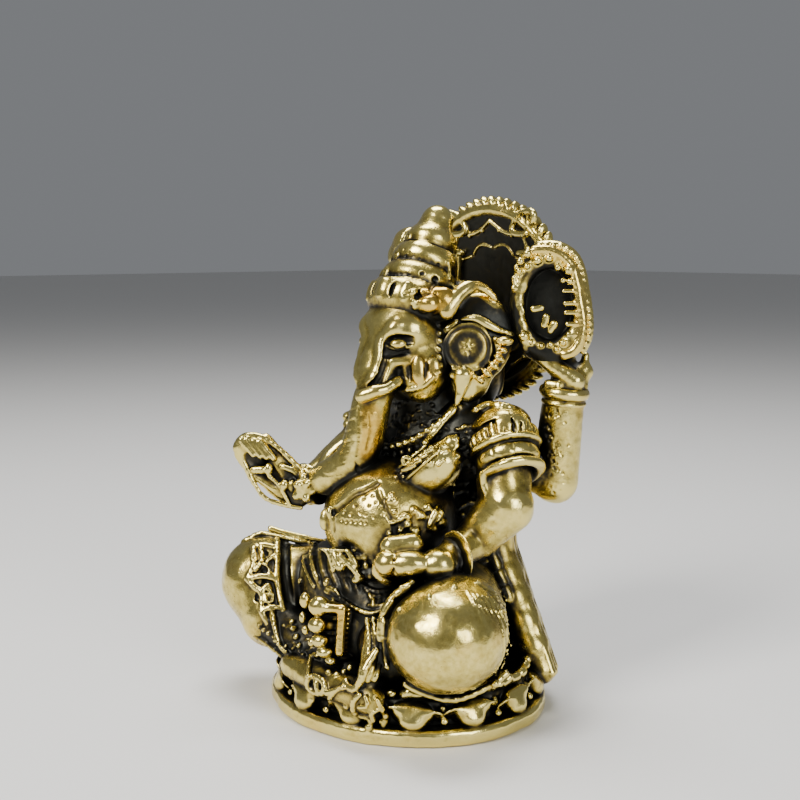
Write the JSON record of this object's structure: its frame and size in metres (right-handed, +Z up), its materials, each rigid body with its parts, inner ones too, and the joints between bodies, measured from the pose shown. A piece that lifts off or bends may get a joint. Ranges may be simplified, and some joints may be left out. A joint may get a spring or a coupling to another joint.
{
  "type": "seated deity figurine",
  "caption": "Small cast-brass figurine of an elephant-headed, four-armed deity seated cross-legged on an oval lotus plinth before a round halo.",
  "frame": {"origin": "centre of the plinth's flat underside", "axes": "+Z up, the figure faces -Y, the figure's left side is +X"},
  "size_m": [0.0325, 0.0252, 0.0455],
  "materials": {
    "polished_brass": "cast brass, rubbed bright on its high points, near-black patina in the creases",
    "aged_brass": "cast brass with fine relief, bright ridges over black patina",
    "dark_brass": "cast brass under an unworn black-brown patina"
  },
  "bodies": {
    "root": {"plinth_foot": "polished_brass", "seat_mound": "dark_brass", "lotus_ring": "aged_brass", "left_leg": "polished_brass", "right_leg": "aged_brass", "front_drape": "aged_brass", "left_foot": "polished_brass", "left_anklet": "aged_brass", "left_shin": "aged_brass", "right_shin": "aged_brass", "belly": "polished_brass", "chest": "aged_brass", "necklace": "aged_brass", "belly_belt": "aged_brass", "buckle": "polished_brass", "lap_cloth": "aged_brass", "hips": "dark_brass", "trunk": "polished_brass", "left_tusk": "polished_brass", "right_tusk": "polished_brass", "head": "polished_brass", "left_earring": "aged_brass", "left_ear": "polished_brass", "right_earring": "aged_brass", "right_ear": "polished_brass", "crown_band": "aged_brass", "crown_tier_1": "aged_brass", "crown_tier_2": "aged_brass", "crown_tier_3": "aged_brass", "crown_finial": "polished_brass", "left_forearm": "polished_brass", "left_bracelet": "aged_brass", "left_hand": "polished_brass", "left_upper_arm": "aged_brass", "left_sleeve": "aged_brass", "left_armlet": "aged_brass", "right_forearm": "polished_brass", "right_bracelet": "aged_brass", "sweet": "polished_brass", "right_hand": "polished_brass", "right_upper_arm": "aged_brass", "right_sleeve": "aged_brass", "left_rear_forearm": "polished_brass", "left_rear_bracelet": "aged_brass", "left_rear_hand": "polished_brass", "left_rear_upper_arm": "aged_brass", "right_rear_forearm": "polished_brass", "right_rear_bracelet": "aged_brass", "right_rear_hand": "polished_brass", "right_rear_upper_arm": "aged_brass", "noose": "aged_brass", "axe_handle": "polished_brass", "axe_head": "polished_brass", "halo_dish": "dark_brass", "halo_rim": "aged_brass", "mane": "dark_brass", "neck": "dark_brass", "back_cape": "aged_brass"}
  },
  "joints": []
}
